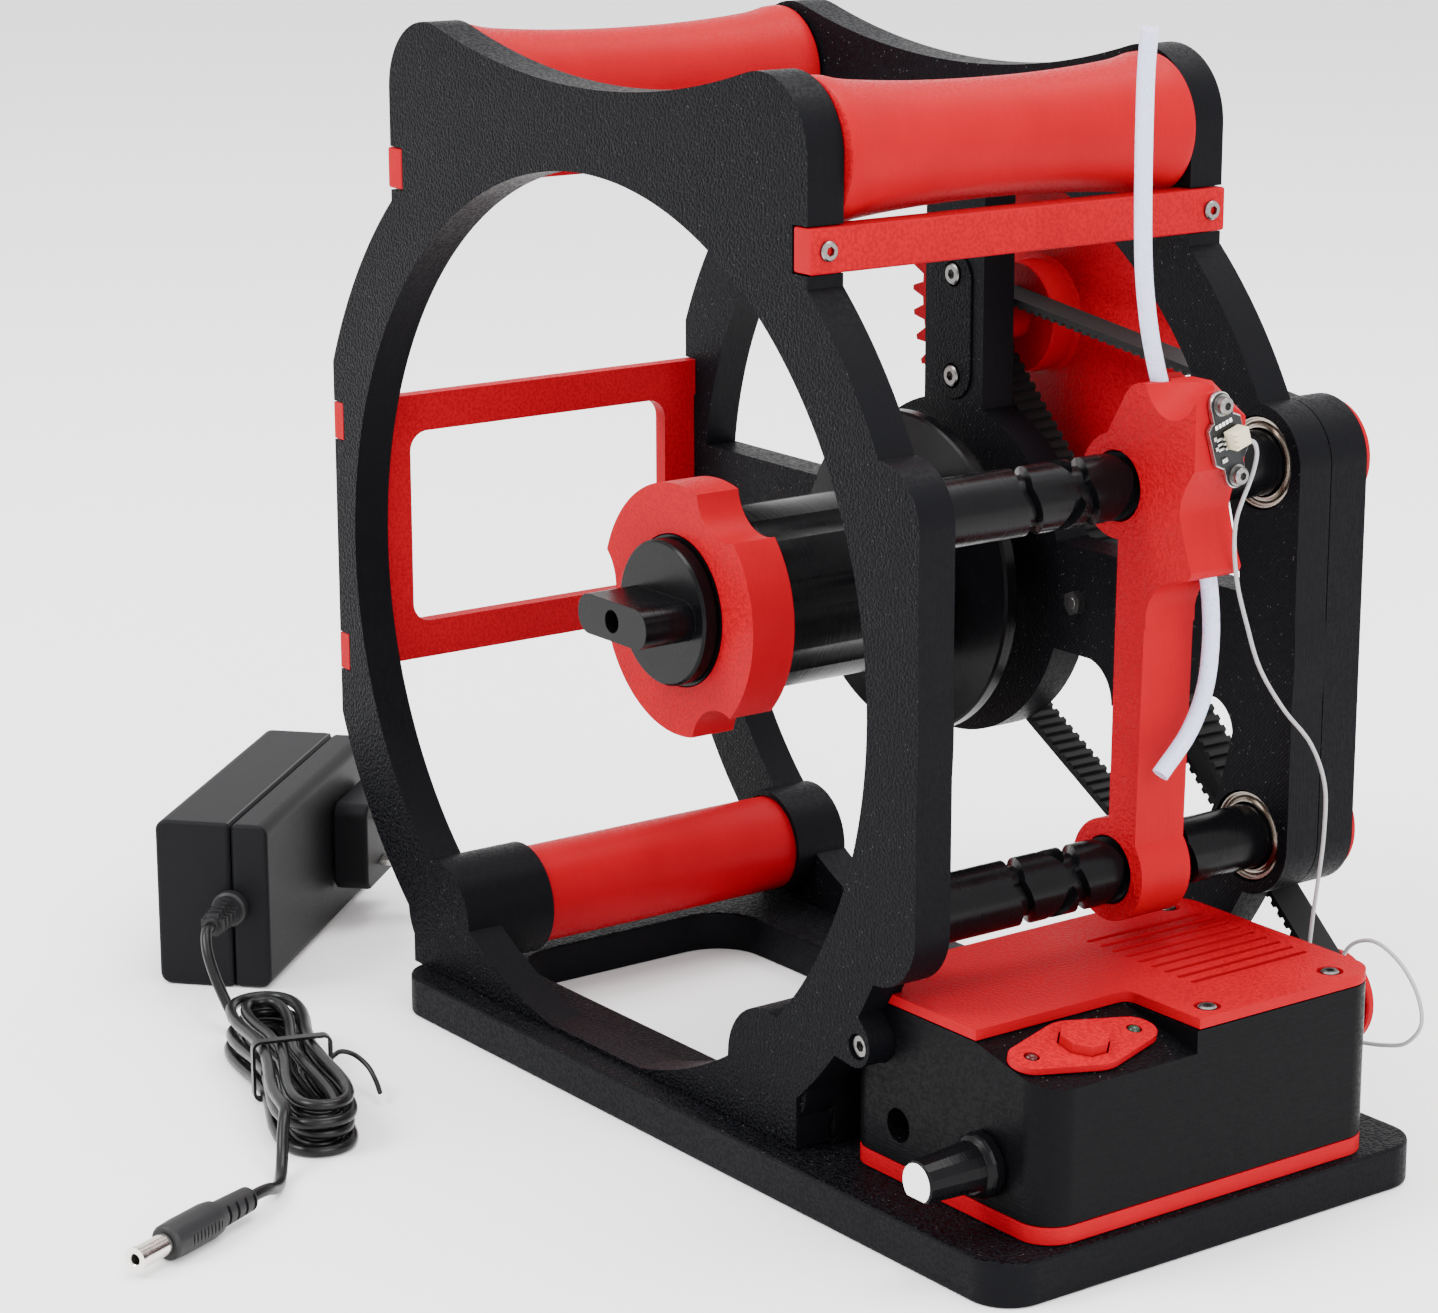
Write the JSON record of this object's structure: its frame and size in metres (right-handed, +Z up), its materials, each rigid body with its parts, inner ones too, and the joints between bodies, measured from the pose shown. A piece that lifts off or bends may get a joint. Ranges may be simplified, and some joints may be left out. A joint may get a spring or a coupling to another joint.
{
  "type": "filament spool winder",
  "caption": "Tabletop filament spool winder: ring plates, spool spindle and nut, belt-driven level-wind shafts with sliding guide, speed box and mains adapter.",
  "frame": {"origin": "on the floor, under the middle of the ring opening and level with the front plate's front face", "axes": "+X to the right along the front plate, +Y back to the rear plate, +Z up"},
  "size_m": [0.3558, 0.2861, 0.2582],
  "materials": {
    "black_plastic": "matte, finely grained",
    "gloss_black": "glossy",
    "red_plastic": "matte, finely grained",
    "white_tube": "translucent, smooth",
    "beige_connector": "moulded",
    "grey_cable": "soft sheath",
    "circuit_board": "solder mask",
    "belt_rubber": "toothed rubber",
    "cord_black": "glossy sheath",
    "steel": "ground",
    "nickel": "nickel plated"
  },
  "bodies": {
    "frame": {"base_plate": "black_plastic", "front_plate": "black_plastic", "rear_plate": "black_plastic", "column_cover": "black_plastic", "slot_cover": "black_plastic", "left_brace_bar": "red_plastic", "right_brace_bar": "red_plastic", "side_window_frame": "red_plastic", "cross_tube": "red_plastic", "spindle_bearing": "steel", "upper_shaft_bearing": "steel", "lower_shaft_bearing": "steel", "gear_axle": "steel", "screw_shaft_belt": "belt_rubber", "motor_belt": "belt_rubber", "gearmotor": "steel", "sensor_cable": "grey_cable", "box_body": "black_plastic", "box_lid": "red_plastic", "box_floor": "red_plastic", "button_panel": "red_plastic", "speed_control": "steel", "power_jack": "black_plastic", "control_board": "circuit_board", "adapter_front_shell": "black_plastic", "adapter_back_shell": "black_plastic", "plug_block": "black_plastic", "upper_blade": "nickel", "lower_blade": "nickel", "adapter_strain_relief": "cord_black", "adapter_lead": "cord_black", "cord_hank": "cord_black", "hank_tie": "gloss_black", "plug_lead": "cord_black", "dc_plug": "black_plastic", "dc_barrel": "nickel"},
    "left_roller": {"left_roller": "red_plastic"},
    "right_roller": {"right_roller": "red_plastic"},
    "spindle": {"spindle_shaft": "steel", "spool_hub": "gloss_black", "spindle_key": "gloss_black", "spindle_pulley": "red_plastic", "spindle_pinion": "red_plastic"},
    "hand_nut": {"spool_nut": "red_plastic"},
    "gear": {"reduction_gear": "red_plastic"},
    "upper_screw": {"upper_screw_shaft": "gloss_black", "upper_shaft_pulley": "red_plastic"},
    "lower_screw": {"lower_screw_shaft": "gloss_black", "lower_shaft_pulley": "red_plastic"},
    "motor_drive": {"motor_pulley": "red_plastic"},
    "guide": {"filament_guide": "red_plastic", "inlet_tube": "white_tube", "outlet_tube": "white_tube", "sensor_board": "circuit_board", "sensor_connector": "beige_connector", "upper_follower_pin": "steel", "lower_follower_pin": "steel"},
    "button": {"start_button": "red_plastic"},
    "knob": {"speed_knob": "gloss_black"}
  },
  "joints": [
    {"name": "spindle_turn", "type": "hinge", "parent": "frame", "child": "spindle", "pos_m": [0, 0.06, 0.1146], "axis": [0, 1, 0], "continuous": true},
    {"name": "gear_turn", "type": "hinge", "parent": "frame", "child": "gear", "pos_m": [0, 0.14, 0.1746], "axis": [0, 1, 0], "continuous": true},
    {"name": "upper_screw_turn", "type": "hinge", "parent": "frame", "child": "upper_screw", "pos_m": [0.1085, 0.06, 0.1582], "axis": [0, 1, 0], "continuous": true},
    {"name": "lower_screw_turn", "type": "hinge", "parent": "frame", "child": "lower_screw", "pos_m": [0.1085, 0.06, 0.0704], "axis": [0, 1, 0], "continuous": true},
    {"name": "motor_turn", "type": "hinge", "parent": "frame", "child": "motor_drive", "pos_m": [0.119, 0.124, 0.03], "axis": [0, 1, 0], "continuous": true},
    {"name": "hand_nut_turn", "type": "hinge", "parent": "spindle", "child": "hand_nut", "pos_m": [0, 0.031, 0.1146], "axis": [0, 1, 0], "continuous": true},
    {"name": "left_roller_turn", "type": "hinge", "parent": "frame", "child": "left_roller", "pos_m": [-0.0696, 0.059, 0.2308], "axis": [0, 1, 0], "continuous": true},
    {"name": "right_roller_turn", "type": "hinge", "parent": "frame", "child": "right_roller", "pos_m": [0.0696, 0.059, 0.2308], "axis": [0, 1, 0], "continuous": true},
    {"name": "guide_slide", "type": "slide", "parent": "frame", "child": "guide", "axis": [0, 1, 0], "range_m": [-0.033, 0.022], "deforming": ["sensor_cable"]},
    {"name": "button_press", "type": "slide", "parent": "frame", "child": "button", "axis": [-0.2138, 0, -0.9769], "range_m": [0, 0.001], "stiffness_N_per_m": 400, "springref_m": -0.0015},
    {"name": "knob_turn", "type": "hinge", "parent": "frame", "child": "knob", "pos_m": [0.1385, -0.003, 0.024], "axis": [0, 1, 0], "range_deg": [0, 300]}
  ],
  "couplings": [
    {"joint": "gear_turn", "follows": "spindle_turn", "ratio": -0.2},
    {"joint": "upper_screw_turn", "follows": "spindle_turn", "ratio": -0.13333},
    {"joint": "lower_screw_turn", "follows": "spindle_turn", "ratio": -0.13333},
    {"joint": "motor_turn", "follows": "spindle_turn", "ratio": 3}
  ]
}
